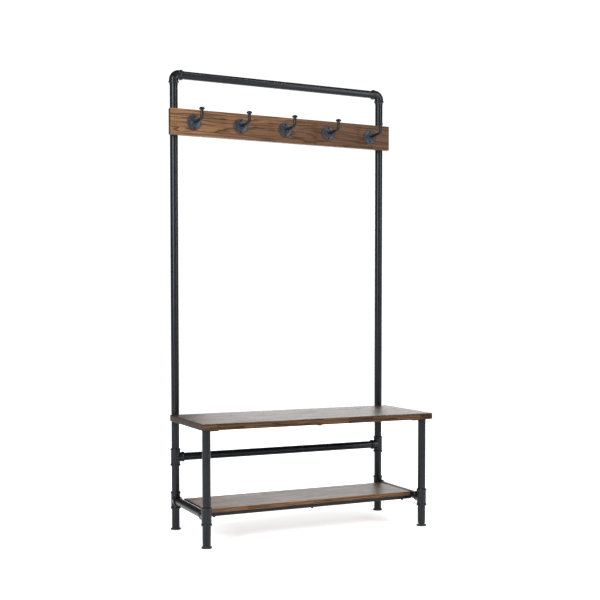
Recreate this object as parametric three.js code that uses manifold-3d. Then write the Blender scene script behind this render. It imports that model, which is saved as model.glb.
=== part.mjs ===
// Entryway bench with a tall pipe-frame back: a seat board, a shelf and a coat-hook board on
// round steel tubes joined by cast tees and elbows, standing on four threaded levelling feet.
//
// Millimetres, +Z up, +X to the sitter's left-to-right along the bench, +Y towards the back.
// The origin is on the floor, under the middle of the whole bench.
import * as THREE from 'three';
import { mergeVertices } from 'three/addons/utils/BufferGeometryUtils.js';
import Module from 'manifold-3d';

const wasm = await Module();
wasm.setup();

// ---- Driving dimensions --------------------------------------------------------------------

const overallHeight = 1850;
const postSpacing = 940; // between the axes of the left and the right tubes
const legSpacing = 364; // between the axes of the front and the back tubes
const seatTop = 469;
const shelfTop = 134.5;
const lowTeeZ = 120;
const midTeeZ = 295;

const boardThickness = 25;
const boardOverhang = 28; // seat and hook board past the tube axes, left and right
const seatFrontOverhang = 36; // seat past the front tube axes
const hookBoardTop = 1689;
const hookBoardHeight = 104;

const clearance = 0.3; // left between pieces that touch

const tubeRadius = 16;
const tubeBoreRadius = 14.4;

const fittingRadius = 19;
const bandRadius = 21;
const bandLength = 8;
const teeReach = 35; // centre of a tee to its faces
const elbowReach = 34;
const elbowBendRadius = 22;
const socketDepth = 12;
const fittingBoreRadius = 13.5;

const sleeveLength = 80;
const sleeveBoreRadius = 10;

const boltRadius = 3;
const boltHeadRadius = 6.5;
const boltHeadHeight = 4;
const boltGrip = 20; // how far a bolt reaches into a board

const shelfDepth = 254;
const shelfBoardThickness = 16.5;
const shelfRailHeight = 12;
const shelfRailWidth = 20;
const shelfRailWall = 1.5;
const shelfStripThickness = 2.5;
const shelfScrewSpacing = 416;
const shelfScrewHoleRadius = 2.6;
const endPlateThickness = 3;

const seatBarThickness = 6;
const seatBarWidth = 30;
const centerBarWidth = 14;

const hookCount = 5;
const hookPitch = 200;
const hookProjection = 95; // board face to the axis of the upright
const hookRise = 46; // arm axis to the top of the cap
const hookArmRadius = 6;
const hookBendRadius = 14;
const hookSocketFloor = 3; // metal left under the arm inside the flange
const capRadius = 12;
const capHeight = 11;
const flangeRadius = 30;
const flangeEdgeHeight = 2.5;
const flangeScrewCircle = 22;
const flangeScrewHoleRadius = 2.6;
const flangeCollarHeight = 13;
const flangeCollarWall = 3.2;

const footPadRadius = 20.5;
const footPadHeight = 7.5;
const footPadFloor = 2.7; // rubber left under the stem
const footStemRadius = 4;
const footStemTop = 38;
const footNutHeight = 8; // threaded plug welded into the lower end of each foot tube
const footTubeEnd = 8; // height of the tube ends above the floor
const frontRightFootTravelOut = 4; // this foot stands unscrewed, under a shorter tube

// ---- Places worked out from them -----------------------------------------------------------

const overallDepth = seatFrontOverhang + legSpacing + bandRadius;
const frontY = -overallDepth / 2 + seatFrontOverhang;
const backY = frontY + legSpacing;
const sideX = postSpacing / 2;
const railZ = overallHeight - bandRadius;
const boardLength = postSpacing + 2 * boardOverhang;
const boardBackY = backY - tubeRadius - clearance;
const hookBoardFrontY = boardBackY - boardThickness;
const hookBoardMidZ = hookBoardTop - hookBoardHeight / 2;
const seatUnderside = seatTop - boardThickness;
const seatBoltZ = seatTop - boardThickness / 2;
const hookBoardBoltZ = hookBoardMidZ + hookBoardHeight / 4;
const seatSeamZ = (seatUnderside + seatBoltZ) / 2 - 2; // the seams lie hidden behind the boards
const hookSeamZ = hookBoardMidZ;
const tubeStop = socketDepth - clearance; // how far a tube end reaches into a fitting
const inTee = teeReach - tubeStop;
const inElbow = elbowReach - tubeStop;
const innerFaceX = sideX - tubeRadius - clearance; // just clear of the tubes on both sides
const shelfMidY = (frontY + backY) / 2;

// Facets around the tubes and the fittings, facets around rods, and steps in their bends.
const roundSides = 16;
const smallSides = 12;
const roundBendSteps = 6;
const smallBendSteps = 4;

// ---- Materials -----------------------------------------------------------------------------

const blackTube = { color: 0x2b2d33, roughness: 0.42, metalness: 0.6 };
const blackCasting = { color: 0x26282d, roughness: 0.6, metalness: 0.55 };
const greyCasting = { color: 0x4b4f5c, roughness: 0.5, metalness: 0.6 };
const blackFrame = { color: 0x232428, roughness: 0.5, metalness: 0.5 };
const brownWood = { color: 0x7a573f, roughness: 0.6, metalness: 0 };
const zincSteel = { color: 0x8d9094, roughness: 0.4, metalness: 0.9 };
const blackRubber = { color: 0x1c1c1e, roughness: 0.8, metalness: 0 };

// ---- Solids --------------------------------------------------------------------------------

function solidFrom(geometry) {
  const bare = geometry.clone();
  bare.deleteAttribute('normal');
  bare.deleteAttribute('uv');
  const merged = mergeVertices(bare);
  const corners = merged.index.array;
  const triangles = [];
  for (let i = 0; i < corners.length; i += 3) {
    const [a, b, c] = corners.slice(i, i + 3);
    if (a !== b && b !== c && c !== a) triangles.push(a, b, c);
  }
  return new wasm.Manifold(new wasm.Mesh({
    numProp: 3,
    vertProperties: new Float32Array(merged.attributes.position.array),
    triVerts: new Uint32Array(triangles),
  }));
}

function geometryFrom(solid) {
  const mesh = solid.getMesh();
  const geometry = new THREE.BufferGeometry();
  geometry.setAttribute('position', new THREE.BufferAttribute(mesh.vertProperties, 3));
  geometry.setIndex(new THREE.BufferAttribute(mesh.triVerts, 1));
  geometry.computeVertexNormals();
  return geometry;
}

const joined = (...solids) => solids.reduce((sum, solid) => sum.add(solid));
const cut = (solid, ...tools) => tools.reduce((rest, tool) => rest.subtract(tool), solid);

// A solid of revolution about +Z from [radius, height] points that run up its outside.
function turned(points, sides = roundSides) {
  const profile = points.map(([radius, height]) => new THREE.Vector2(radius, height));
  return solidFrom(new THREE.LatheGeometry(profile, sides).rotateX(Math.PI / 2));
}

// A cylinder along +Z between two heights.
function rod(radius, from, to, sides = roundSides) {
  return turned([[0, from], [radius, from], [radius, to], [0, to]], sides);
}

// A cylinder along Y, placed by its axis and its two ends.
function crossRod(radius, x, z, fromY, toY, sides = smallSides) {
  return rod(radius, fromY, toY, sides).rotate([-90, 0, 0]).translate([x, 0, z]);
}

// A hollow tube along +Z: the profile closes on itself.
function pipe(outer, inner, from, to, sides = roundSides) {
  return turned([[inner, from], [outer, from], [outer, to], [inner, to], [inner, from]], sides);
}

function box(minimum, maximum) {
  const size = maximum.map((value, axis) => value - minimum[axis]);
  const middle = maximum.map((value, axis) => (value + minimum[axis]) / 2);
  return solidFrom(new THREE.BoxGeometry(...size)).translate(middle);
}

// A line in the XZ plane: straight up, a quarter turn and straight along +X, its two straights
// aimed at the origin. Each straight is one step of a sweep, the turn the steps between them.
class BentLine extends THREE.Curve {
  constructor(upright, bendRadius, level, bendSteps) {
    super();
    this.upright = upright;
    this.bendRadius = bendRadius;
    this.level = level;
    this.bendSteps = bendSteps;
  }

  getPoint(t, target = new THREE.Vector3()) {
    const step = t * (this.bendSteps + 2) - 1;
    const beforeBend = Math.max(-step, 0);
    const afterBend = Math.max(step - this.bendSteps, 0);
    const angle = THREE.MathUtils.clamp(step / this.bendSteps, 0, 1) * Math.PI / 2;
    const across = this.bendRadius * (1 - Math.cos(angle)) + afterBend * this.level;
    const up = this.bendRadius * (Math.sin(angle) - 1) - beforeBend * this.upright;
    return target.set(across, 0, up);
  }

  // Keeps the steps where getPoint puts them, not at equal distances.
  getUtoTmapping(u) {
    return u;
  }
}

// A solid rod that follows a bent line.
function bentRod(line, radius, sides) {
  const section = new THREE.Shape();
  for (let i = 0; i < sides; i++) {
    const angle = (i / sides) * 2 * Math.PI;
    const point = [radius * Math.cos(angle), radius * Math.sin(angle)];
    if (i === 0) section.moveTo(...point);
    else section.lineTo(...point);
  }
  const options = { extrudePath: line, steps: line.bendSteps + 2, bevelEnabled: false };
  return solidFrom(new THREE.ExtrudeGeometry(section, options));
}

// ---- Cast fittings -------------------------------------------------------------------------

// One arm of a tee along +Z: a plain body and a raised band at its face.
function teeArm() {
  const bandStart = teeReach - bandLength;
  return turned([
    [0, 0], [fittingRadius, 0], [fittingRadius, bandStart],
    [bandRadius, bandStart], [bandRadius, teeReach], [0, teeReach],
  ]);
}

// The space inside one arm: a socket for the tube and a narrower bore behind it.
function teeBore() {
  const socketStart = teeReach - socketDepth;
  const socketRadius = tubeRadius + clearance;
  return turned([
    [0, 0], [fittingBoreRadius, 0], [fittingBoreRadius, socketStart],
    [socketRadius, socketStart], [socketRadius, teeReach + 1], [0, teeReach + 1],
  ]);
}

// A tee: arms up and down, and one along +X.
function tee() {
  const turns = [[0, 0, 0], [180, 0, 0], [0, 90, 0]];
  const arms = turns.map((turn) => teeArm().rotate(turn));
  const bores = turns.map((turn) => teeBore().rotate(turn));
  return cut(joined(...arms), ...bores);
}

// A 90 degree elbow: one arm down and one along +X, with a round bend between them.
function elbow() {
  const turns = [[180, 0, 0], [0, 90, 0]];
  const straight = elbowReach - elbowBendRadius - bandLength / 2;
  const bodyLine = new BentLine(straight, elbowBendRadius, straight, roundBendSteps);
  const boreLine = new BentLine(straight, elbowBendRadius, straight, smallBendSteps);
  const bands = turns.map((turn) => {
    return rod(bandRadius, elbowReach - bandLength, elbowReach, roundSides).rotate(turn);
  });
  const sockets = turns.map((turn) => {
    const radius = tubeRadius + clearance;
    return rod(radius, elbowReach - socketDepth, elbowReach + 1, roundSides).rotate(turn);
  });
  const body = joined(bentRod(bodyLine, fittingRadius, roundSides), ...bands);
  return cut(body, bentRod(boreLine, fittingBoreRadius, roundSides), ...sockets);
}

// ---- Tubes ---------------------------------------------------------------------------------

function plainTube(length) {
  return pipe(tubeRadius, tubeBoreRadius, 0, length);
}

// A stretch of post drilled through for the bolt of a board, at heights above its lower end.
function drilledTube(length, boltHeights) {
  const drills = boltHeights.map((height) => {
    return crossRod(boltRadius + clearance, 0, height, -2 * tubeRadius, 2 * tubeRadius);
  });
  return cut(plainTube(length), ...drills);
}

// The tube under a low tee, with the threaded plug of its levelling foot in its lower end.
function footTube(length) {
  const threadRadius = footStemRadius + clearance;
  return turned([
    [threadRadius, 0], [tubeRadius, 0], [tubeRadius, length], [tubeBoreRadius, length],
    [tubeBoreRadius, footNutHeight], [threadRadius, footNutHeight], [threadRadius, 0],
  ]);
}

// The sleeve that joins two post tubes inside, drilled for the bolt of the board in front.
function jointSleeve(boltOffset) {
  const half = sleeveLength / 2;
  const sleeve = pipe(tubeBoreRadius - clearance, sleeveBoreRadius, -half, half);
  return cut(sleeve, crossRod(boltRadius + clearance, 0, boltOffset, -tubeRadius, tubeRadius));
}

// A bolt along Y with its head behind the post, at the post's axis.
function boardBolt() {
  const headBase = tubeRadius + clearance;
  const tip = -tubeRadius - clearance - boltGrip;
  const profile = [
    [0, tip], [boltRadius, tip], [boltRadius, headBase], [boltHeadRadius, headBase],
    [boltHeadRadius, headBase + boltHeadHeight / 2],
    [boltHeadRadius * 0.6, headBase + boltHeadHeight], [0, headBase + boltHeadHeight],
  ];
  return turned(profile, smallSides).rotate([-90, 0, 0]);
}

// ---- Boards and the steel under them -------------------------------------------------------

// A board in front of the posts, with a blind hole in its back for each post's bolt.
function drilledBoard(minimum, maximum, boltZ) {
  const holeEnd = boardBackY - boltGrip - clearance;
  const holes = [-sideX, sideX].map((x) => {
    return crossRod(boltRadius + clearance, x, boltZ, holeEnd, boardBackY + 1);
  });
  return cut(box(minimum, maximum), ...holes);
}

function seatBoard() {
  const minimum = [-boardLength / 2, frontY - seatFrontOverhang, seatUnderside];
  const maximum = [boardLength / 2, boardBackY, seatTop];
  return drilledBoard(minimum, maximum, seatBoltZ);
}

function hookBoard() {
  const minimum = [-boardLength / 2, hookBoardFrontY, hookBoardTop - hookBoardHeight];
  const maximum = [boardLength / 2, boardBackY, hookBoardTop];
  return drilledBoard(minimum, maximum, hookBoardBoltZ);
}

// The shelf board and its frame are drawn about the middle of the shelf's depth.
function shelfBoard() {
  const halfLength = innerFaceX - endPlateThickness - clearance;
  const minimum = [-halfLength, -shelfDepth / 2, shelfTop - shelfBoardThickness];
  return box(minimum, [halfLength, shelfDepth / 2, shelfTop]);
}

// The front rail of the shelf's frame: a flat rectangular tube between the end plates, open
// only at the holes in its underside for the screws that hold the board.
function shelfRail(bottom, top) {
  const front = -shelfDepth / 2;
  const back = front + shelfRailWidth;
  const wall = shelfRailWall;
  const halfHollow = innerFaceX - endPlateThickness;
  const hollow = box(
    [-halfHollow, front + wall, bottom + wall],
    [halfHollow, back - wall, top - wall],
  );
  const holes = [-shelfScrewSpacing, 0, shelfScrewSpacing].map((x) => {
    const drill = rod(shelfScrewHoleRadius, bottom - 1, bottom + 2 * wall, smallSides);
    return drill.translate([x, (front + back) / 2, 0]);
  });
  return cut(box([-innerFaceX, front, bottom], [innerFaceX, back, top]), hollow, ...holes);
}

// The welded frame that carries the shelf board: a rail along the front and the back, a strip
// across the middle and a plate at each end, up to the top of the board.
function shelfFrame() {
  const top = shelfTop - shelfBoardThickness - clearance;
  const bottom = top - shelfRailHeight;
  const frontRail = shelfRail(bottom, top);
  const stripReach = shelfDepth / 2 - shelfRailWidth + shelfRailWall / 2;
  const strip = box(
    [-shelfRailWidth / 2, -stripReach, top - shelfStripThickness],
    [shelfRailWidth / 2, stripReach, top],
  );
  const endPlate = box(
    [innerFaceX - endPlateThickness, -shelfDepth / 2, bottom],
    [innerFaceX, shelfDepth / 2, shelfTop],
  );
  const backRail = frontRail.rotate([0, 0, 180]);
  return joined(frontRail, backRail, strip, endPlate, endPlate.rotate([0, 0, 180]));
}

// A flat steel bar under the seat board, from the front legs' fronts to the back posts.
function seatBar(minimumX, maximumX) {
  const top = seatUnderside - clearance;
  return box(
    [minimumX, frontY - tubeRadius / 2, top - seatBarThickness],
    [maximumX, backY, top],
  );
}

// ---- Coat hooks ----------------------------------------------------------------------------

// Turns a solid built along +Z so that it stands out of the hook board, towards the front.
const facingFront = (solid) => solid.rotate([90, 0, 0]);

function hookFlange() {
  const socketRadius = hookArmRadius + clearance;
  const collarRadius = socketRadius + flangeCollarWall;
  const disc = turned([
    [0, 0], [flangeRadius, 0], [flangeRadius, flangeEdgeHeight],
    [flangeRadius - 2, flangeEdgeHeight + 1.5], [collarRadius + 2.5, flangeCollarHeight - 6],
    [collarRadius, flangeCollarHeight], [socketRadius, flangeCollarHeight],
    [socketRadius, hookSocketFloor], [0, hookSocketFloor],
  ]);
  const screwHoles = [-flangeScrewCircle, flangeScrewCircle].map((offset) => {
    const drill = rod(flangeScrewHoleRadius, -1, flangeCollarHeight, smallSides);
    return drill.translate([0, offset, 0]);
  });
  return facingFront(cut(disc, ...screwHoles));
}

// The arm leaves the flange towards the front, turns up and ends in a mushroom cap.
function hookArm() {
  const forward = hookProjection - hookBendRadius - hookSocketFloor - clearance;
  const rise = hookRise - capHeight / 2 - hookBendRadius;
  const line = new BentLine(forward, hookBendRadius, rise, smallBendSteps);
  const arm = facingFront(bentRod(line, hookArmRadius, smallSides).rotate([0, 0, 90]));
  const capBase = hookRise - capHeight;
  const cap = turned([
    [0, capBase], [capRadius - 0.5, capBase + capHeight * 0.25],
    [capRadius, capBase + capHeight * 0.4], [capRadius * 0.8, capBase + capHeight * 0.78],
    [capRadius * 0.42, hookRise - 0.4], [0, hookRise],
  ], smallSides);
  return joined(arm, cap).translate([0, -hookProjection, 0]);
}

// ---- Levelling feet ------------------------------------------------------------------------

function footPad() {
  const holeRadius = footStemRadius + clearance;
  const edge = 2;
  return turned([
    [0, 0], [footPadRadius - edge, 0], [footPadRadius, edge],
    [footPadRadius, footPadHeight - 1.5 * edge], [footPadRadius - edge, footPadHeight - 1.2],
    [holeRadius, footPadHeight], [holeRadius, footPadFloor], [0, footPadFloor],
  ]);
}

const footStem = () => rod(footStemRadius, footPadFloor + clearance, footStemTop, smallSides);

// ---- Assembly ------------------------------------------------------------------------------

const bench = new THREE.Group();

function add(name, solid, look, position = [0, 0, 0], turnAboutZ = 0, parent = bench) {
  const mesh = new THREE.Mesh(geometryFrom(solid), new THREE.MeshStandardMaterial(look));
  mesh.name = name;
  mesh.position.set(...position);
  mesh.rotation.z = turnAboutZ;
  parent.add(mesh);
}

// A tube along +Z between two fittings, or between one fitting and a seam or a board.
function addPostTube(name, from, to, boltHeights, parent) {
  const heights = boltHeights.map((height) => height - from);
  add(name, drilledTube(to - from, heights), blackTube, [0, 0, from], 0, parent);
}

function addBackPost(side, x) {
  const post = new THREE.Group();
  post.position.set(x, backY, 0);
  bench.add(post);
  const name = `back_${side}`;
  const inward = side === 'left' ? 0 : Math.PI;
  const half = clearance / 2;
  const footLength = lowTeeZ - inTee - footTubeEnd;
  add(`${name}_foot_tube`, footTube(footLength), blackTube, [0, 0, footTubeEnd], 0, post);
  add(`${name}_low_tee`, tee(), blackCasting, [0, 0, lowTeeZ], -Math.PI / 2, post);
  addPostTube(`${name}_lower_tube`, lowTeeZ + inTee, midTeeZ - inTee, [], post);
  add(`${name}_mid_tee`, tee(), blackCasting, [0, 0, midTeeZ], inward, post);
  addPostTube(`${name}_seat_tube`, midTeeZ + inTee, seatSeamZ - half, [], post);
  addPostTube(`${name}_post_tube`, seatSeamZ + half, hookSeamZ - half, [seatBoltZ], post);
  addPostTube(`${name}_top_tube`, hookSeamZ + half, railZ - inElbow, [hookBoardBoltZ], post);
  add(`${name}_elbow`, elbow(), blackCasting, [0, 0, railZ], inward, post);
  add(`${side}_seat_sleeve`, jointSleeve(seatBoltZ - seatSeamZ), zincSteel,
    [0, 0, seatSeamZ], 0, post);
  add(`${side}_hook_board_sleeve`, jointSleeve(hookBoardBoltZ - hookSeamZ), zincSteel,
    [0, 0, hookSeamZ], 0, post);
  add(`${side}_seat_bolt`, boardBolt(), zincSteel, [0, 0, seatBoltZ], 0, post);
  add(`${side}_hook_board_bolt`, boardBolt(), zincSteel, [0, 0, hookBoardBoltZ], 0, post);
}

function addFrontLeg(side, x) {
  const leg = new THREE.Group();
  leg.position.set(x, frontY, 0);
  bench.add(leg);
  const name = `front_${side}`;
  const tubeEnd = footTubeEnd + (side === 'right' ? frontRightFootTravelOut : 0);
  const footLength = lowTeeZ - inTee - tubeEnd;
  add(`${name}_foot_tube`, footTube(footLength), blackTube, [0, 0, tubeEnd], 0, leg);
  add(`${name}_low_tee`, tee(), blackCasting, [0, 0, lowTeeZ], Math.PI / 2, leg);
  addPostTube(`${name}_leg_tube`, lowTeeZ + inTee, seatUnderside - clearance, [], leg);
}

function addRails() {
  const backRail = plainTube(postSpacing - 2 * inTee).rotate([0, 90, 0]);
  const topRail = plainTube(postSpacing - 2 * inElbow).rotate([0, 90, 0]);
  const sideRail = plainTube(legSpacing - 2 * inTee).rotate([-90, 0, 0]);
  add('back_rail_tube', backRail, blackTube, [-sideX + inTee, backY, midTeeZ]);
  add('top_rail_tube', topRail, blackTube, [-sideX + inElbow, backY, railZ]);
  add('left_side_tube', sideRail, blackTube, [-sideX, frontY + inTee, lowTeeZ]);
  add('right_side_tube', sideRail, blackTube, [sideX, frontY + inTee, lowTeeZ]);
}

function addFoot(name, x, y) {
  add(`${name}_foot_pad`, footPad(), blackRubber, [x, y, 0]);
  add(`${name}_foot_stem`, footStem(), zincSteel, [x, y, 0]);
}

function addHook(number, x) {
  const place = [x, hookBoardFrontY - clearance, hookBoardMidZ];
  add(`hook_${number}_flange`, hookFlange(), greyCasting, place);
  add(`hook_${number}_arm`, hookArm(), blackCasting, place);
}

for (const [side, x] of [['left', -sideX], ['right', sideX]]) {
  addBackPost(side, x);
  addFrontLeg(side, x);
  addFoot(`back_${side}`, x, backY);
  addFoot(`front_${side}`, x, frontY);
}
addRails();

add('seat_board', seatBoard(), brownWood);
add('hook_board', hookBoard(), brownWood);
add('shelf_board', shelfBoard(), brownWood, [0, shelfMidY, 0]);
add('shelf_frame', shelfFrame(), blackFrame, [0, shelfMidY, 0]);

add('left_seat_bar', seatBar(-innerFaceX, -innerFaceX + seatBarWidth), blackFrame);
add('right_seat_bar', seatBar(innerFaceX - seatBarWidth, innerFaceX), blackFrame);
add('center_seat_bar', seatBar(-centerBarWidth / 2, centerBarWidth / 2), blackFrame);

for (let i = 0; i < hookCount; i++) {
  addHook(i + 1, (i - (hookCount - 1) / 2) * hookPitch);
}

export default bench;
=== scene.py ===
"""The looks of the entryway bench: round tubes, cast fittings, grained boards, hooks and feet.

Everything is in metres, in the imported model's frame: +Z up, +X to the right, +Y to the back.
"""

import math

import bmesh
import bpy
import numpy as np
from mathutils import Matrix, Vector, noise


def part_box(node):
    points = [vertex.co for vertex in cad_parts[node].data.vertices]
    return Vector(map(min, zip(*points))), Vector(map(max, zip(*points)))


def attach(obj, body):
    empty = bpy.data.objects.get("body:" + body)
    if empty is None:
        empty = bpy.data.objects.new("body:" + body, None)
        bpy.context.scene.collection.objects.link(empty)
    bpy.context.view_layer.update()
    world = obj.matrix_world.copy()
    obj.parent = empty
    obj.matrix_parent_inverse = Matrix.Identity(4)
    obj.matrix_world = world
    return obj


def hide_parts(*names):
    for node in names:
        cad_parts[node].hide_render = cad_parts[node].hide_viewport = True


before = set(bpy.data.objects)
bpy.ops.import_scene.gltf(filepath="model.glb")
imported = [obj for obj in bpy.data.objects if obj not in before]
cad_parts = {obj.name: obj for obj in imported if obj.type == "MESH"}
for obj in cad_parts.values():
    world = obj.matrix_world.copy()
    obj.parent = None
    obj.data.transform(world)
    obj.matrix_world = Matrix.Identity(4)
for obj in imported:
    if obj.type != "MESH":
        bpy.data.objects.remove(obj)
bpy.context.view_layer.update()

MM = 0.001
ROOT = "bench"
SIDES = ("left", "right")
BOLTED_BOARDS = ("seat", "hook_board")
HOOKS = range(1, 6)

RIGHT = (1, 0, 0)
FRONT = (0, -1, 0)
BACK = (0, 1, 0)
UP = (0, 0, 1)
DOWN = (0, 0, -1)

# ---- Sizes that the looks add to the frame's own -------------------------------------------

# Sides of round shapes, from the tubes down to a stem.
TUBE_SIDES = 64
BOLT_SIDES = 48
SCREW_SIDES = 32
STEM_SIDES = 24

TUBE_WALL = 1.6 * MM
TUBE_CHAMFER = 0.5 * MM
PLUG_HEIGHT = 8 * MM
FIT_GAP = 0.3 * MM  # between pieces that touch

BAND_LENGTH = 8 * MM
BAND_HEIGHT = 2 * MM
SOCKET_DEPTH = 12 * MM
COLLAR_LENGTH = 7 * MM
COLLAR_HEIGHT = 1.1 * MM
ELBOW_BEND_RADIUS = 22 * MM
ELBOW_BEND_STEPS = 16
SHELL_OVERLAP = 2 * MM  # of the shells that are fused into one casting

SEED_STEP = Vector((17.3, 5.1, 9.7))
FINE_LUMPS = 2.3  # how many fine lumps cross a coarse one
INWARDS = 1.2  # keeps nearly all of the noise below the surface

CASTING_VOXEL = 0.9 * MM
CASTING_ROUGHNESS = 0.16 * MM
CASTING_LUMP = 5 * MM
HOOK_VOXEL = 0.7 * MM
HOOK_ROUGHNESS = 0.12 * MM
HOOK_LUMP = 3 * MM
HOOK_BEND_RADIUS = 14 * MM
HOOK_BEND_STEPS = 12

PLANK_CELL = 7 * MM
PLANK_EDGE = 1.8 * MM
PLANK_WAVE = 0.35 * MM
PLANK_WAVE_LENGTH = 90 * MM
STEEL_EDGE = 0.5 * MM

HOOK_SCREW_RADIUS = 4.2 * MM
HOOK_SCREW_HEIGHT = 2.4 * MM
HOOK_SCREW_CIRCLE = 22 * MM
HOOK_SCREW_SEAT = 0.33  # of the flange's depth
SHELF_SCREW_RADIUS = 5.5 * MM
SHELF_SCREW_HEIGHT = 6 * MM
SHELF_SCREW_SPACING = 416 * MM
SHELF_RAIL_WIDTH = 20 * MM
BOLT_SHANK_RADIUS = 3 * MM
THREAD_PITCH = 1.5 * MM

SAME_POINT = 0.001 * MM
FLAT_DEGREES = 1

# ---- Tones ---------------------------------------------------------------------------------

PAINT_SPECULAR = 0.26
PAINT_SHEEN = (0.87, 0.93, 1.0, 1)
PEEL_STRENGTH = 0.08

LATEWOOD = (0.034, 0.015, 0.006, 1)
HEARTWOOD = (0.125, 0.058, 0.025, 1)
EARLYWOOD = (0.3, 0.158, 0.078, 1)
END_GRAIN_TONE = 0.4
WOOD_SPECULAR = 0.12

BLACK = (0, 0, 0, 1)
WHITE = (1, 1, 1, 1)

# ---- Light and camera ----------------------------------------------------------------------

FLOOR_REACH = 30
FLOOR_GLOW = 0.5
WORLD_LIGHT = 0.6
WORLD_SEEN = 1.1
WORLD_MIRRORED = 0.13
CHEST = (0, 0, 1.1)  # where the two front boxes point

CAMERA_PLACE = (-1.7655, -3.736, 0.8918)
CAMERA_HEADING = -25.27
CAMERA_TILT = 90 - 2.277
CAMERA_LENS = 61.1
CAMERA_SHIFT = 0.0833


# ---- Mesh tools ----------------------------------------------------------------------------

def piece(name, mesh, body, material, replaced=()):
    """Puts a mesh in the scene as a piece of the object."""
    made = bpy.data.objects.new(name, mesh)
    bpy.context.scene.collection.objects.link(made)
    mesh.materials.clear()
    mesh.materials.append(material)
    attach(made, body)
    if replaced:
        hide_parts(*replaced)


def mesh_of(name, points, faces):
    mesh = bpy.data.meshes.new(name)
    mesh.from_pydata([tuple(point) for point in points], [], faces)
    mesh.update()
    return mesh


def taken(made, name):
    """The mesh that a bmesh has grown into."""
    mesh = bpy.data.meshes.new(name)
    made.to_mesh(mesh)
    made.free()
    return mesh


def shade(mesh, sharp_degrees=38):
    mesh.shade_smooth()
    mesh.set_sharp_from_angle(angle=math.radians(sharp_degrees))
    return mesh


def baked(mesh, *modifiers):
    """The mesh after these modifiers, each given as (type, settings)."""
    holder = bpy.data.objects.new("holder", mesh)
    bpy.context.scene.collection.objects.link(holder)
    for kind, settings in modifiers:
        modifier = holder.modifiers.new(kind, kind)
        for key, value in settings.items():
            setattr(modifier, key, value)
    evaluated = holder.evaluated_get(bpy.context.evaluated_depsgraph_get())
    result = bpy.data.meshes.new_from_object(evaluated)
    result.name = mesh.name
    bpy.data.objects.remove(holder)
    return result


def bevel(width, segments, degrees=30):
    """A modifier that rounds edges sharper than this."""
    return ("BEVEL", {
        "width": width,
        "segments": segments,
        "limit_method": "ANGLE",
        "angle_limit": math.radians(degrees),
    })


def less(mesh, tool):
    """The mesh with the tool's shape cut out of it."""
    cutter = bpy.data.objects.new("cutter", tool)
    bpy.context.scene.collection.objects.link(cutter)
    cut = {"object": cutter, "operation": "DIFFERENCE", "solver": "EXACT"}
    result = baked(mesh, ("BOOLEAN", cut))
    bpy.data.objects.remove(cutter)
    return result


def merged(name, meshes):
    """All these meshes as one, their shells side by side."""
    made = bmesh.new()
    for mesh in meshes:
        made.from_mesh(mesh)
    return taken(made, name)


def fused(name, shells, voxel, rounding):
    """One closed skin around overlapping shells, with its corners softened as a casting's are."""
    return baked(
        merged(name, shells),
        ("REMESH", {"mode": "VOXEL", "voxel_size": voxel, "use_smooth_shade": True}),
        ("SMOOTH", {"factor": 0.5, "iterations": rounding}),
    )


def lathe(name, profile, sides=TUBE_SIDES):
    """A solid of revolution about +Z. The (radius, height) profile runs up the outside; it
    starts and ends on the axis, or closes on itself."""
    closed = profile[0] == profile[-1]
    steps = profile[:-1] if closed else profile
    points = []
    rings = []
    for radius, height in steps:
        if radius == 0:
            rings.append([len(points)])
            points.append((0, 0, height))
            continue
        rings.append(list(range(len(points), len(points) + sides)))
        for i in range(sides):
            angle = 2 * math.pi * i / sides
            points.append((radius * math.cos(angle), radius * math.sin(angle), height))
    pairs = list(zip(rings, rings[1:]))
    if closed:
        pairs.append((rings[-1], rings[0]))
    faces = []
    for below, above in pairs:
        for i in range(sides):
            j = (i + 1) % sides
            corners = [below[i % len(below)], below[j % len(below)],
                       above[j % len(above)], above[i % len(above)]]
            faces.append(list(dict.fromkeys(corners)))
    return mesh_of(name, points, faces)


def bent_path(first, then, before, after, bend_radius, steps):
    """A line that heads first one way and then, round a quarter turn, the other. Its two
    straights aim at the origin; before and after are how far from there it starts and ends."""
    first = Vector(first)
    then = Vector(then)
    centre = (then - first) * bend_radius
    path = [-first * before]
    for step in range(steps + 1):
        angle = math.pi / 2 * step / steps
        path.append(centre + (first * math.sin(angle) - then * math.cos(angle)) * bend_radius)
    path.append(then * after)
    return path


def swept(name, path, side, radius, sides):
    """A solid round rod along a path that stays in the plane square to side."""
    side = Vector(side)
    points = []
    for i, centre in enumerate(path):
        ahead = path[min(i + 1, len(path) - 1)] - path[max(i - 1, 0)]
        above = ahead.normalized().cross(side)
        for k in range(sides):
            turn = 2 * math.pi * k / sides
            points.append(centre + (side * math.cos(turn) + above * math.sin(turn)) * radius)
    faces = [list(range(sides)), list(range(len(points) - sides, len(points)))]
    for start in range(0, len(points) - sides, sides):
        for k in range(sides):
            a = start + k
            b = start + (k + 1) % sides
            faces.append([a, b, b + sides, a + sides])
    made = bmesh.new()
    made.from_mesh(mesh_of(name, points, faces))
    bmesh.ops.recalc_face_normals(made, faces=made.faces)
    return taken(made, name)


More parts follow.
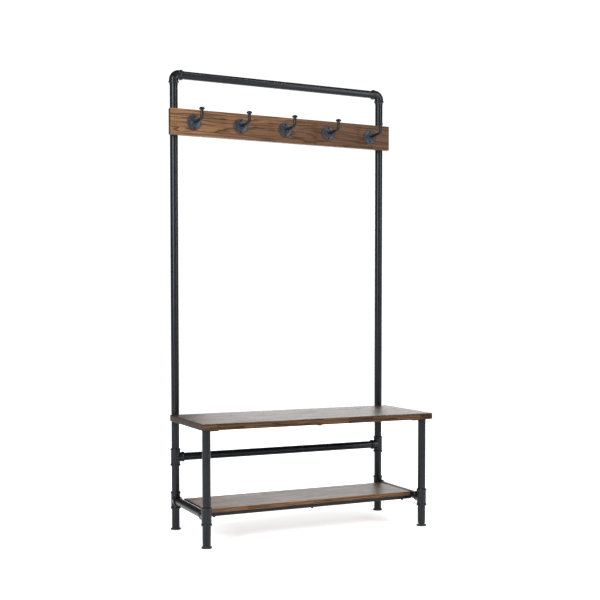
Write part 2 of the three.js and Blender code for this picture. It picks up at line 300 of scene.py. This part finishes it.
def gridded_box(name, low, high, cell):
    """A box whose faces are grids of cells, as one closed mesh."""
    made = bmesh.new()
    size = high - low
    counts = [max(2, round(size[k] / cell)) for k in range(3)]
    for axis in range(3):
        u, v = [k for k in range(3) if k != axis]
        for end in (low[axis], high[axis]):
            corners = {}
            for i in range(counts[u] + 1):
                for j in range(counts[v] + 1):
                    at = Vector()
                    at[axis] = end
                    at[u] = low[u] + size[u] * i / counts[u]
                    at[v] = low[v] + size[v] * j / counts[v]
                    corners[i, j] = made.verts.new(at)
            for i in range(counts[u]):
                for j in range(counts[v]):
                    made.faces.new([corners[i, j], corners[i + 1, j],
                                    corners[i + 1, j + 1], corners[i, j + 1]])
    bmesh.ops.remove_doubles(made, verts=made.verts, dist=SAME_POINT)
    bmesh.ops.recalc_face_normals(made, faces=made.faces)
    return taken(made, name)


def roughened(mesh, amount, lump, seed):
    """Moves each vertex inwards along its normal by smooth noise, up to about this amount.
    Every seed reads another part of the noise."""
    shift = SEED_STEP * seed
    points = np.empty((len(mesh.vertices), 3), dtype=np.float32)
    normals = np.empty_like(points)
    mesh.vertices.foreach_get("co", points.ravel())
    mesh.vertex_normals.foreach_get("vector", normals.ravel())
    places = [Vector(point) / lump + shift for point in points.tolist()]
    swell = [noise.noise(at) + noise.noise(at * FINE_LUMPS) / 2 - INWARDS for at in places]
    points += normals * np.array(swell, dtype=np.float32)[:, None] * amount / 2
    mesh.vertices.foreach_set("co", points.ravel())
    mesh.update()
    return mesh


def moved(mesh, matrix):
    mesh.transform(matrix)
    return mesh


def along(axis):
    """The rotation that takes +Z to this direction."""
    return Vector(UP).rotation_difference(Vector(axis)).to_matrix().to_4x4()


def placed(axis, place):
    """The move that takes the origin to place and +Z to this direction."""
    return Matrix.Translation(place) @ along(axis)


def middle(node):
    low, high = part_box(node)
    return (low + high) / 2


def span(node):
    low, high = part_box(node)
    return high - low


# ---- Materials -----------------------------------------------------------------------------

class Nodes:
    """Short ways to add and join the nodes of a material or of the world."""

    def __init__(self, tree):
        self.tree = tree

    def node(self, kind, inputs=None, **settings):
        made = self.tree.nodes.new(kind)
        for key, value in settings.items():
            setattr(made, key, value)
        for key, value in (inputs or {}).items():
            self.feed(made.inputs[key], value)
        return made

    def feed(self, socket, value):
        if isinstance(value, bpy.types.NodeSocket):
            self.tree.links.new(value, socket)
        else:
            socket.default_value = value

    def place(self):
        return self.node("ShaderNodeTexCoord").outputs["Object"]

    def math(self, operation, *values):
        inputs = dict(enumerate(values))
        return self.node("ShaderNodeMath", inputs, operation=operation).outputs[0]

    def vector(self, operation, *values):
        inputs = dict(enumerate(values))
        return self.node("ShaderNodeVectorMath", inputs, operation=operation).outputs["Vector"]

    def measure(self, operation, *values):
        """A vector operation whose answer is a number."""
        inputs = dict(enumerate(values))
        return self.node("ShaderNodeVectorMath", inputs, operation=operation).outputs["Value"]

    def stretched(self, vector, factors):
        return self.vector("MULTIPLY", vector, factors)

    def scaled(self, vector, factor):
        inputs = {0: vector, "Scale": factor}
        return self.node("ShaderNodeVectorMath", inputs, operation="SCALE").outputs["Vector"]

    def noise(self, at, scale=1.0, detail=3.0, roughness=0.5, output="Fac"):
        inputs = {"Vector": at, "Scale": scale, "Detail": detail, "Roughness": roughness}
        return self.node("ShaderNodeTexNoise", inputs).outputs[output]

    def range(self, value, low, high, to_low=0.0, to_high=1.0):
        inputs = {"Value": value, "From Min": low, "From Max": high,
                  "To Min": to_low, "To Max": to_high}
        return self.node("ShaderNodeMapRange", inputs).outputs["Result"]

    def mix(self, factor, first, second):
        """One colour fading into another."""
        made = self.node("ShaderNodeMix", data_type="RGBA")
        self.feed(made.inputs["Factor"], factor)
        self.feed(made.inputs["A"], first)
        self.feed(made.inputs["B"], second)
        return made.outputs["Result"]

    def bump(self, height, distance, strength=1.0):
        inputs = {"Height": height, "Distance": distance, "Strength": strength}
        return self.node("ShaderNodeBump", inputs).outputs["Normal"]


class Shader(Nodes):
    """A new material and its nodes."""

    def __init__(self, name):
        self.material = bpy.data.materials.new(name)
        self.material.use_nodes = True
        super().__init__(self.material.node_tree)
        self.surface = self.tree.nodes["Principled BSDF"]

    def set(self, **inputs):
        for key, value in inputs.items():
            self.feed(self.surface.inputs[key.replace("_", " ")], value)


def painted(name, dark, light, roughness, peel_size, peel_height):
    """A sprayed coat: mottled tone, uneven gloss and an orange-peel surface."""
    made = Shader(name)
    at = made.place()
    mottle = made.noise(at, scale=55.0, detail=4.0, roughness=0.6)
    peel = made.noise(at, scale=1 / peel_size, detail=2.0, roughness=0.45)
    specks = made.noise(at, scale=2.6 / peel_size, detail=2.0)
    speckled = made.math("ADD", mottle, made.math("MULTIPLY", specks, 0.35))
    made.set(
        Base_Color=made.mix(made.range(speckled, 0.45, 0.95), dark, light),
        Roughness=made.range(mottle, 0.3, 0.7, roughness - 0.012, roughness + 0.018),
        Specular_IOR_Level=PAINT_SPECULAR,
        Specular_Tint=PAINT_SHEEN,
        Normal=made.bump(peel, peel_height, PEEL_STRENGTH),
    )
    return made.material


def cast(name, dark, light, roughness, metallic=0.0):
    """Coated rough castings: pits and grains of the sand mould under the coat."""
    made = Shader(name)
    at = made.place()
    grains = made.noise(at, scale=420.0, roughness=0.6)
    pits = made.node("ShaderNodeTexVoronoi", {"Vector": at, "Scale": 380.0}).outputs["Distance"]
    patches = made.noise(at, scale=70.0, roughness=0.6)
    relief = made.math("ADD", grains, made.math("MULTIPLY", pits, 0.5))
    uneven = made.math("ADD", patches, made.math("MULTIPLY", grains, 0.5))
    made.set(
        Base_Color=made.mix(made.range(uneven, 0.5, 1.0), dark, light),
        Roughness=made.range(patches, 0.3, 0.7, roughness - 0.03, roughness + 0.04),
        Metallic=metallic,
        Specular_IOR_Level=PAINT_SPECULAR,
        Specular_Tint=PAINT_SHEEN,
        Normal=made.bump(relief, 0.12 * MM),
    )
    return made.material


def black_tube_coat():
    return painted(
        "black_tube_coat",
        dark=(0.003, 0.0034, 0.0045, 1), light=(0.007, 0.0078, 0.01, 1),
        roughness=0.33, peel_size=6 * MM, peel_height=0.01 * MM,
    )


def black_frame_coat():
    return painted(
        "black_frame_coat",
        dark=(0.003, 0.003, 0.0034, 1), light=(0.008, 0.008, 0.009, 1),
        roughness=0.4, peel_size=5 * MM, peel_height=0.02 * MM,
    )


def black_casting_coat():
    return cast(
        "black_casting_coat",
        dark=(0.0025, 0.0028, 0.0035, 1), light=(0.009, 0.0096, 0.0115, 1), roughness=0.27,
    )


def grey_casting_coat():
    return cast(
        "grey_casting_coat",
        dark=(0.014, 0.016, 0.021, 1), light=(0.045, 0.048, 0.058, 1), roughness=0.36,
        metallic=0.35,
    )


def zinc_plating():
    """Plated steel with a fine brushed grain."""
    made = Shader("zinc_plating")
    at = made.place()
    grain = made.noise(made.stretched(at, (900.0, 900.0, 60.0)), detail=2.0)
    cloud = made.noise(at, scale=120.0)
    made.set(
        Base_Color=made.mix(cloud, (0.42, 0.43, 0.44, 1), (0.6, 0.61, 0.62, 1)),
        Roughness=made.range(grain, 0.3, 0.7, 0.26, 0.42),
        Metallic=1.0,
        Normal=made.bump(grain, 0.05 * MM),
    )
    return made.material


def foot_rubber():
    """Matt black rubber with a fine grain and some dust."""
    made = Shader("foot_rubber")
    at = made.place()
    grain = made.noise(at, scale=900.0)
    dust = made.noise(at, scale=90.0, detail=4.0)
    made.set(
        Base_Color=made.mix(dust, (0.014, 0.014, 0.015, 1), (0.03, 0.03, 0.031, 1)),
        Roughness=made.range(dust, 0.3, 0.7, 0.62, 0.8),
        Normal=made.bump(grain, 0.12 * MM),
    )
    return made.material


def glued_staves(made, at, length, width):
    """A board glued from short staves: the tint of each, and the place in the tree that each
    was cut from."""
    sorts = made.node(
        "ShaderNodeTexBrick",
        {"Vector": at, "Color1": BLACK, "Color2": WHITE, "Scale": 1.0,
         "Mortar Size": 0.0, "Brick Width": length, "Row Height": width},
        offset=0.37, offset_frequency=2, squash=1.0,
    ).outputs["Color"]
    tint = made.range(sorts, 0.0, 1.0, 0.2, 0.75)
    jump = made.stretched(sorts, (3.0, 0.11, 0.05))
    return tint, made.vector("ADD", at, jump)


def plank_tint_and_painted_shade(made, at):
    """The slow change of tone in a single plank, with painted shade that makes it darker towards the
    right, away from the key light.
    """
    cloud = made.noise(made.stretched(at, (1.6, 9.0, 9.0)), detail=2.0)
    run = made.node("ShaderNodeSeparateXYZ", {"Vector": at}).outputs["X"]
    # Painted shade: the ramp along X darkens the plank towards the right, as the key light on the
    # left falls off.
    return made.math("ADD", made.range(run, -0.5, 0.5, 0.5, -0.8), cloud)


def growth_rings(made, at, pith, ring):
    """How dark each year's wood is: years are counted outwards from the pith, and slow noise
    along the board bends them."""
    slow = made.noise(made.stretched(at, (2.2, 9.0, 9.0)), output="Color")
    bend = made.stretched(made.vector("SUBTRACT", slow, (0.5, 0.5, 0.5)), (0.0, 0.06, 0.06))
    from_pith = made.vector("SUBTRACT", made.vector("ADD", at, bend), (0.0, *pith))
    distance = made.measure("LENGTH", made.stretched(from_pith, (0.0, 1.0, 1.0)))
    weather = made.noise(made.stretched(at, (1.2, 45.0, 45.0)), detail=2.0)
    growth = made.math("MULTIPLY", weather, 3.0)
    year = made.math("FRACT", made.math("ADD", made.math("DIVIDE", distance, ring), growth))
    return made.math("SUBTRACT", made.range(year, 0.62, 0.95), made.range(year, 0.95, 1.0))


def stained(made, colour, stain):
    """The colour under its stain, which goes deeper into the end grain."""
    facing = made.node("ShaderNodeTexCoord").outputs["Normal"]
    endwards = made.math("ABSOLUTE", made.measure("DOT_PRODUCT", facing, RIGHT))
    return made.scaled(colour, made.range(endwards, 0.6, 0.9, stain, stain * END_GRAIN_TONE))


def wood(name, pith, ring, stain, stave=None):
    """Brown stained wood whose grain runs along X. pith is the (y, z) of the tree's middle,
    ring the width of a year, stain how much light is left by the stain, and stave the
    (length, width) of the glued strips, if it has any."""
    made = Shader(name)
    at = made.place()
    if stave:
        tint, at = glued_staves(made, at, *stave)
    else:
        # A single plank's tint also carries painted shade, darker towards the right.
        tint = plank_tint_and_painted_shade(made, at)
    late = growth_rings(made, at, pith, ring)
    fibres = made.noise(made.stretched(at, (22.0, 900.0, 900.0)), roughness=0.65)
    streaks = made.noise(made.stretched(at, (4.0, 210.0, 210.0)), roughness=0.6)
    pits = made.noise(made.stretched(at, (75.0, 1500.0, 1500.0)), detail=1.0)
    pores = made.range(pits, 0.66, 0.78)

    colour = made.mix(made.range(tint, 0.1, 0.9), HEARTWOOD, EARLYWOOD)
    darkenings = (
        made.math("MULTIPLY", late, 0.95),
        made.range(streaks, 0.47, 0.66, 0.0, 0.85),
        made.range(fibres, 0.35, 0.75, 0.0, 0.3),
        made.math("MULTIPLY", pores, 0.7),
    )
    for darkening in darkenings:
        colour = made.mix(darkening, colour, LATEWOOD)
    hollows = made.math("ADD", made.math("MULTIPLY", late, 0.2), pores)
    relief = made.math("SUBTRACT", made.math("MULTIPLY", fibres, 0.25), hollows)
    made.set(
        Base_Color=stained(made, colour, stain),
        Roughness=made.range(streaks, 0.3, 0.75, 0.36, 0.52),
        Specular_IOR_Level=WOOD_SPECULAR,
        Normal=made.bump(relief, 0.12 * MM),
    )
    return made.material


def seat_wood():
    board = middle("seat_board")
    pith = (board.y, board.z - 90 * MM)
    return wood("seat_wood", pith, ring=8 * MM, stain=0.38, stave=(110 * MM, 48 * MM))


def shelf_wood():
    board = middle("shelf_board")
    pith = (board.y, board.z - 100 * MM)
    return wood("shelf_wood", pith, ring=8 * MM, stain=0.66, stave=(140 * MM, 50 * MM))


def hook_wood():
    board = middle("hook_board")
    pith = (board.y + 60 * MM, board.z - 35 * MM)
    return wood("hook_wood", pith, ring=8 * MM, stain=0.7)


def floor_paper():
    """A pale floor lit from below, as a photographer's light table is, so shadows are faint."""
    made = Shader("pale_floor")
    cloud = made.noise(made.place(), scale=1.5)
    made.set(
        Base_Color=made.mix(cloud, (0.93, 0.93, 0.935, 1), (0.95, 0.95, 0.955, 1)),
        Roughness=0.9,
        Specular_IOR_Level=0.0,
        Emission_Color=WHITE,
        Emission_Strength=FLOOR_GLOW,
    )
    return made.material


BLACK_TUBE = black_tube_coat()
BLACK_CASTING = black_casting_coat()
GREY_CASTING = grey_casting_coat()
BLACK_FRAME = black_frame_coat()
ZINC = zinc_plating()
RUBBER = foot_rubber()


# ---- Tubes ---------------------------------------------------------------------------------

def tube_mesh(name, outer, length, plug_bore=None):
    """A tube along +Z with eased ends. plug_bore is the radius of the hole in the plug in its
    lower end, if it has a plug."""
    bore = outer - TUBE_WALL
    edge = TUBE_CHAMFER
    inside = [(bore, edge), (bore + edge, 0)]
    if plug_bore:
        inside = [(bore, PLUG_HEIGHT), (plug_bore, PLUG_HEIGHT), (plug_bore, edge),
                  (plug_bore + edge, 0)]
    outside = [(outer - edge, 0), (outer, edge), (outer, length - edge), (outer - edge, length)]
    top = [(bore + edge, length), (bore, length - edge)]
    return lathe(name, [*inside, *outside, *top, inside[0]])


def add_tube(node, plug_bore=None):
    """A round tube in place of the CAD's many-sided one."""
    size = span(node)
    axis = max(range(3), key=lambda k: size[k])
    direction = Vector([1.0 if k == axis else 0.0 for k in range(3)])
    start = middle(node) - direction * size[axis] / 2
    mesh = shade(tube_mesh(node, min(size) / 2, size[axis], plug_bore))
    piece(f"{node}_round", moved(mesh, placed(direction, start)), ROOT, BLACK_TUBE,
          [node])


def add_tubes():
    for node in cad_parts:
        if node.endswith("foot_tube"):
            stem_radius = span(node.replace("foot_tube", "foot_stem")).x / 2
            add_tube(node, plug_bore=stem_radius + FIT_GAP)
        elif node.endswith("_tube"):
            add_tube(node)


# ---- Cast fittings -------------------------------------------------------------------------

def fitting_arm(body, start, reach, tube_radius):
    """One arm of a fitting along +Z: a plain body, a raised band and the tube's socket."""
    band = body + BAND_HEIGHT
    edge = BAND_HEIGHT * 0.45
    band_start = reach - BAND_LENGTH
    socket = tube_radius + FIT_GAP
    socket_floor = reach - SOCKET_DEPTH
    return lathe("arm", [
        (0, start), (body, start), (body, band_start), (band - edge, band_start),
        (band, band_start + edge), (band, reach - edge), (band - edge, reach),
        (socket, reach), (socket, socket_floor), (0, socket_floor),
    ])


def elbow_collar(reach, tube_radius):
    """The low ring that stands out of an elbow's socket, round the tube."""
    inner = tube_radius + FIT_GAP
    outer = tube_radius + COLLAR_HEIGHT
    low = reach - SHELL_OVERLAP / 2
    high = reach + COLLAR_LENGTH
    return lathe("collar", [(inner, low), (outer, low), (outer, high), (inner, high), (inner, low)])


def tee_mesh(reach, band_radius, tube_radius):
    """A tee with arms up, down and along +X."""
    body = band_radius - BAND_HEIGHT
    arms = [moved(fitting_arm(body, 0, reach, tube_radius), along(way)) for way in (UP, DOWN, RIGHT)]
    return fused("tee", arms, CASTING_VOXEL, rounding=5)


def elbow_mesh(reach, band_radius, tube_radius):
    """An elbow with arms down and along +X."""
    body = band_radius - BAND_HEIGHT
    bend_reach = ELBOW_BEND_RADIUS + SHELL_OVERLAP
    path = bent_path(UP, RIGHT, bend_reach, bend_reach, ELBOW_BEND_RADIUS, ELBOW_BEND_STEPS)
    shells = [swept("bend", path, BACK, body, TUBE_SIDES)]
    for way in (DOWN, RIGHT):
        arm = fitting_arm(body, ELBOW_BEND_RADIUS - SHELL_OVERLAP, reach, tube_radius)
        collar = elbow_collar(reach, tube_radius)
        shells += [moved(arm, along(way)), moved(collar, along(way))]
    return fused("elbow", shells, CASTING_VOXEL, rounding=5)


def add_fitting(node, mesh, centre, seed):
    """Places a fitting's mesh with its side arm towards the middle of the node's box."""
    towards = middle(node) - centre
    turn = Matrix.Rotation(math.atan2(towards.y, towards.x), 4, "Z")
    body = moved(mesh.copy(), Matrix.Translation(centre) @ turn)
    roughened(body, CASTING_ROUGHNESS, CASTING_LUMP, seed)
    piece(f"{node}_cast", shade(body, 70), ROOT, BLACK_CASTING, [node])


def add_fittings():
    tube_radius = span("back_left_post_tube").x / 2
    elbow_size = span("back_left_elbow")
    band_radius = elbow_size.y / 2
    tee = tee_mesh(span("back_left_mid_tee").z / 2, band_radius, tube_radius)
    elbow = elbow_mesh(elbow_size.z - band_radius, band_radius, tube_radius)
    nodes = sorted(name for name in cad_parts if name.endswith(("_tee", "_elbow")))
    for seed, node in enumerate(nodes):
        corner = "_".join(node.split("_")[:2])
        centre = middle(f"{corner}_foot_tube")
        if node.endswith("_tee"):
            centre.z = middle(node).z
            add_fitting(node, tee, centre, seed)
        else:
            centre.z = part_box(node)[1].z - band_radius
            add_fitting(node, elbow, centre, seed)


# ---- Boards and the steel under them -------------------------------------------------------

def add_board(node, material, seed):
    """A board with eased edges and the slight waviness of planed wood."""
    low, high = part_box(node)
    mesh = baked(gridded_box(node, low, high, PLANK_CELL), bevel(PLANK_EDGE, 4, 60))
    roughened(mesh, PLANK_WAVE, PLANK_WAVE_LENGTH, seed)
    piece(f"{node}_plank", shade(mesh, 60), ROOT, material, [node])


def add_boards():
    add_board("seat_board", seat_wood(), seed=1)
    add_board("shelf_board", shelf_wood(), seed=2)
    add_board("hook_board", hook_wood(), seed=3)


def eased_copy(node):
    """The node's own shape with its edges eased."""
    made = bmesh.new()
    made.from_mesh(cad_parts[node].data)
    bmesh.ops.remove_doubles(made, verts=made.verts, dist=SAME_POINT)
    bmesh.ops.dissolve_limit(made, angle_limit=math.radians(FLAT_DEGREES), verts=made.verts,
                             edges=made.edges)
    return shade(baked(taken(made, node), bevel(STEEL_EDGE, 2)), 50)


def add_steel():
    for node in ("shelf_frame", "left_seat_bar", "right_seat_bar", "center_seat_bar"):
        piece(f"{node}_eased", eased_copy(node), ROOT, BLACK_FRAME, [node])


# ---- Screws and bolts ----------------------------------------------------------------------

def dome(radius, height, base, steps, fullness):
    """The (radius, height) outline of a rounded head, from above its rim almost to its top."""
    outline = []
    for step in range(1, steps):
        angle = math.pi / 2 * step / steps
        outline.append((radius * math.cos(angle) ** fullness,
                        base + (height - base) * math.sin(angle)))
    return outline


def cross_slots(radius, height):
    """The two blocks that cut a cross recess into a screw's head."""
    long, thin, depth = radius * 0.55, radius * 0.13, height * 0.45
    for x, y in ((long, thin), (thin, long)):
        yield gridded_box("slot", Vector((-x, -y, depth)), Vector((x, y, height * 2)), 1.0)


def screw_mesh(radius, height):
    """A pan head with a cross recess, its seat at z = 0 and a stub of shank below."""
    shank = radius * 0.45
    rim = height * 0.2
    profile = [(0, -height), (shank, -height), (shank, 0), (radius * 0.96, 0), (radius, rim)]
    profile += dome(radius, height, rim, 8, 0.6)
    profile.append((0, height))
    head = lathe("screw", profile, SCREW_SIDES)
    for slot in cross_slots(radius, height):
        head = less(head, slot)
    return shade(head, 35)


def add_screw(name, mesh, outward, place):
    """A painted screw whose head seats at place and faces outward."""
    spot = moved(mesh.copy(), placed(outward, place))
    piece(name, spot, ROOT, BLACK_FRAME)


def add_shelf_screws():
    """Screws up through the shelf frame's rails into the board."""
    low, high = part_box("shelf_frame")
    screw = screw_mesh(SHELF_SCREW_RADIUS, SHELF_SCREW_HEIGHT)
    for row, y in enumerate((low.y + SHELF_RAIL_WIDTH / 2, high.y - SHELF_RAIL_WIDTH / 2)):
        for column, x in enumerate((-SHELF_SCREW_SPACING, 0, SHELF_SCREW_SPACING)):
            add_screw(f"shelf_screw_{row}_{column}", screw, DOWN, (x, y, low.z))


def bolt_mesh(head_radius, head_height, shank_length):
    """A button head with a hexagon recess; the head's seat is at z = 0, the shank below."""
    shank = BOLT_SHANK_RADIUS
    profile = [(0, -shank_length), (shank * 0.8, -shank_length),
               (shank, -shank_length + shank * 0.4), (shank, 0), (head_radius, 0)]
    profile += dome(head_radius, head_height, 0, 9, 0.7)
    profile += [(head_radius * 0.3, head_height), (0, head_height)]
    key, floor = head_radius * 0.38, head_height * 0.35
    above = head_height * 2
    recess = lathe("recess", [(0, floor), (key, floor), (key, above), (0, above)], 6)
    return shade(less(lathe("bolt", profile, BOLT_SIDES), recess), 35)


def add_bolts():
    for side in SIDES:
        seat_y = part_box(f"back_{side}_post_tube")[1].y + FIT_GAP
        for board in BOLTED_BOARDS:
            node = f"{side}_{board}_bolt"
            low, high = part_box(node)
            centre = middle(node)
            mesh = bolt_mesh((high.x - low.x) / 2, high.y - seat_y, seat_y - FIT_GAP - low.y)
            seat = Vector((centre.x, seat_y, centre.z))
            piece(f"{node}_turned", moved(mesh, placed(BACK, seat)), ROOT, ZINC,
                  [node])


# ---- Coat hooks ----------------------------------------------------------------------------

def flange_mesh(radius, depth):
    """A dished round plate with a rolled rim and a collar for the arm."""
    profile = [
        (0, 0), (radius, 0), (radius, 0.12 * depth), (radius - 0.8 * MM, 0.25 * depth),
        (radius - 2.4 * MM, 0.32 * depth), (radius * 0.62, 0.36 * depth),
        (radius * 0.42, 0.5 * depth), (radius * 0.33, 0.8 * depth),
        (radius * 0.3, depth), (0, depth),
    ]
    return baked(lathe("flange", profile), bevel(0.6 * MM, 2, 20))


def cap_mesh(radius, top, rod):
    """The mushroom cap on an arm of radius rod that comes up +Z from the origin."""
    neck = top - radius * 0.95
    rim = radius * 0.93
    return lathe("cap", [
        (0, neck - 4 * MM), (rod * 0.9, neck - 4 * MM), (rod * 1.12, neck),
        (rim, neck + 2.2 * MM), (radius, neck + 3.6 * MM), (rim, neck + 5.4 * MM),
        (radius * 0.72, top - 2.1 * MM), (radius * 0.4, top - 0.6 * MM), (0, top),
    ], BOLT_SIDES)


def hook_mesh(forward, rise, rod, cap_radius):
    """The arm: out along +Z of the flange's frame, round a bend, up along its +Y, and a cap."""
    corner = Matrix.Translation((0, 0, forward))
    path = bent_path(UP, BACK, forward - SHELL_OVERLAP, rise - cap_radius * 0.6,
                     HOOK_BEND_RADIUS, HOOK_BEND_STEPS)
    arm = swept("arm", path, RIGHT, rod, SCREW_SIDES)
    cap = cap_mesh(cap_radius, rise, rod)
    return fused("hook", [moved(arm, corner), moved(cap, corner @ along(BACK))], HOOK_VOXEL,
                 rounding=4)


def hook_arm_mesh():
    """The arm at the size of the first hook's; all five are alike."""
    low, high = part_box("hook_1_arm")
    axis_z = middle("hook_1_flange").z
    cap_radius = (high.x - low.x) / 2
    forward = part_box("hook_1_flange")[1].y - low.y - cap_radius
    return hook_mesh(forward, high.z - axis_z, axis_z - low.z, cap_radius)


def add_hooks():
    size = span("hook_1_flange")
    flange = flange_mesh(size.x / 2, size.y)
    arm = hook_arm_mesh()
    screw = screw_mesh(HOOK_SCREW_RADIUS, HOOK_SCREW_HEIGHT)
    for number in HOOKS:
        centre = middle(f"hook_{number}_flange")
        centre.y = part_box(f"hook_{number}_flange")[1].y
        out_of_board = placed(FRONT, centre)
        plate = moved(flange.copy(), out_of_board)
        rod = roughened(moved(arm.copy(), out_of_board), HOOK_ROUGHNESS, HOOK_LUMP, number)
        piece(f"hook_{number}_plate", shade(plate, 50), ROOT, GREY_CASTING,
              [f"hook_{number}_flange"])
        piece(f"hook_{number}_rod", shade(rod, 70), ROOT, BLACK_CASTING,
              [f"hook_{number}_arm"])
        for label, height in (("upper", HOOK_SCREW_CIRCLE), ("lower", -HOOK_SCREW_CIRCLE)):
            seat = centre + Vector((0, -HOOK_SCREW_SEAT * size.y, height))
            add_screw(f"hook_{number}_{label}_screw", screw, FRONT, seat)


# ---- Feet ----------------------------------------------------------------------------------

def threaded_rod(radius, length):
    """A screw thread that really winds, with flat ends."""
    depth = THREAD_PITCH * 0.45
    steps = round(length / THREAD_PITCH * 6)
    points = [(0, 0, 0)]
    for step in range(steps + 1):
        height = length * step / steps
        for i in range(STEM_SIDES):
            turn = i / STEM_SIDES
            phase = abs(((height / THREAD_PITCH - turn) % 1) * 2 - 1)
            reach = radius - depth * phase
            angle = 2 * math.pi * turn
            points.append((reach * math.cos(angle), reach * math.sin(angle), height))
    points.append((0, 0, length))
    faces = []
    last = 1 + steps * STEM_SIDES
    for i in range(STEM_SIDES):
        j = (i + 1) % STEM_SIDES
        for start in range(1, last, STEM_SIDES):
            a, b = start + i, start + j
            faces.append([a, b, b + STEM_SIDES, a + STEM_SIDES])
        faces.append([0, 1 + j, 1 + i])
        faces.append([len(points) - 1, last + i, last + j])
    return mesh_of("stem", points, faces)


def foot_pad_mesh(radius, height, hole):
    """A flared rubber foot with a rolled lower edge and a collar round its stem."""
    under, hole_floor = 0.4 * MM, height * 0.36
    return lathe("foot_pad", [
        (0, under), (radius * 0.7, under), (radius * 0.74, 0), (radius - 1.2 * MM, 0),
        (radius - 0.35 * MM, 0.5 * MM), (radius, 1.5 * MM), (radius, height * 0.5),
        (radius - 0.5 * MM, height * 0.66), (radius * 0.9, height * 0.84),
        (radius * 0.8, height * 0.95), (radius * 0.7, height), (hole + 0.6 * MM, height),
        (hole, height - 0.6 * MM), (hole, hole_floor), (0, hole_floor),
    ])


def add_foot(foot):
    """A foot's pad and its threaded stem, which both ride on the foot's own body."""
    pad_node, stem_node = f"{foot}_pad", f"{foot}_stem"
    pad_size, stem_size = span(pad_node), span(stem_node)
    stem_radius = stem_size.x / 2
    spot = middle(pad_node)
    pad = foot_pad_mesh(pad_size.x / 2, pad_size.z, stem_radius + FIT_GAP)
    on_floor = Matrix.Translation((spot.x, spot.y, 0))
    piece(f"{pad_node}_moulded", moved(shade(pad, 50), on_floor), foot, RUBBER,
          [pad_node])
    rod = threaded_rod(stem_radius, stem_size.z)
    in_pad = Matrix.Translation((spot.x, spot.y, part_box(stem_node)[0].z))
    piece(f"{stem_node}_threaded", moved(shade(rod, 60), in_pad), foot, ZINC,
          [stem_node])


def add_feet():
    for place in ("front", "back"):
        for side in SIDES:
            add_foot(f"{place}_{side}_foot")


def finish_sleeves():
    """The sleeves inside the posts keep their CAD shape and are zinc plated."""
    for side in SIDES:
        for board in BOLTED_BOARDS:
            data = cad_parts[f"{side}_{board}_sleeve"].data
            data.materials.clear()
            data.materials.append(ZINC)


# ---- Stage, light and camera ---------------------------------------------------------------

def add_floor():
    reach = FLOOR_REACH
    corners = [(-reach, -reach, 0), (reach, -reach, 0), (reach, reach, 0), (-reach, reach, 0)]
    mesh = mesh_of("floor", corners, [[0, 1, 2, 3]])
    floor = bpy.data.objects.new("floor", mesh)
    bpy.context.scene.collection.objects.link(floor)
    mesh.materials.append(floor_paper())


def add_light(name, place, target, size, power):
    """A soft box, (width, height) in size, that points from place to target."""
    lamp = bpy.data.lights.new(name, "AREA")
    lamp.shape = "RECTANGLE"
    lamp.size, lamp.size_y = size
    lamp.energy = power
    made = bpy.data.objects.new(name, lamp)
    made.location = place
    made.rotation_euler = (Vector(target) - Vector(place)).to_track_quat("-Z", "Y").to_euler()
    made.visible_camera = False
    bpy.context.scene.collection.objects.link(made)


def add_lights():
    add_light("key_box", (-2.6, -1.7, 2.1), CHEST, size=(0.8, 2.2), power=112)
    add_light("fill_box", (1.9, -2.6, 2.1), CHEST, size=(0.5, 2.2), power=52)
    add_light("rail_strip", (1.0, -1.33, 3.4), (1.6, -0.4, 1.8), size=(2.6, 0.12), power=26)
    add_light("back_wall", (2.3, 3.4, 1.4), (0, 0, 0.6), size=(3.0, 1.6), power=58)


def add_world():
    """A white studio: white to look at, bright enough to light the floor and the boards, and
    dim in what it mirrors, as the black cloths round a shiny object are."""
    world = bpy.data.worlds.new("studio")
    bpy.context.scene.world = world
    world.use_nodes = True
    made = Nodes(world.node_tree)
    ray = made.node("ShaderNodeLightPath").outputs
    seen = made.range(ray["Is Camera Ray"], 0.0, 1.0, WORLD_LIGHT, WORLD_SEEN)
    strength = made.range(ray["Is Glossy Ray"], 0.0, 1.0, seen, WORLD_MIRRORED)
    backdrop = world.node_tree.nodes["Background"]
    made.feed(backdrop.inputs["Color"], WHITE)
    made.feed(backdrop.inputs["Strength"], strength)
    # Found by bounced rays only, so that each kind of ray meets its own brightness.
    world.cycles.sampling_method = "NONE"


def add_camera():
    """Looks at the bench from its front left, at about the middle of its height."""
    camera = bpy.data.cameras.new("camera")
    camera.sensor_width = 36
    camera.lens = CAMERA_LENS
    camera.shift_y = CAMERA_SHIFT
    made = bpy.data.objects.new("camera", camera)
    made.location = CAMERA_PLACE
    made.rotation_euler = (math.radians(CAMERA_TILT), 0, math.radians(CAMERA_HEADING))
    bpy.context.scene.collection.objects.link(made)
    bpy.context.scene.camera = made


add_tubes()
add_fittings()
add_boards()
add_steel()
add_bolts()
add_shelf_screws()
add_hooks()
add_feet()
finish_sleeves()
add_floor()
add_lights()
add_world()
add_camera()
bpy.context.scene.view_settings.view_transform = "Standard"
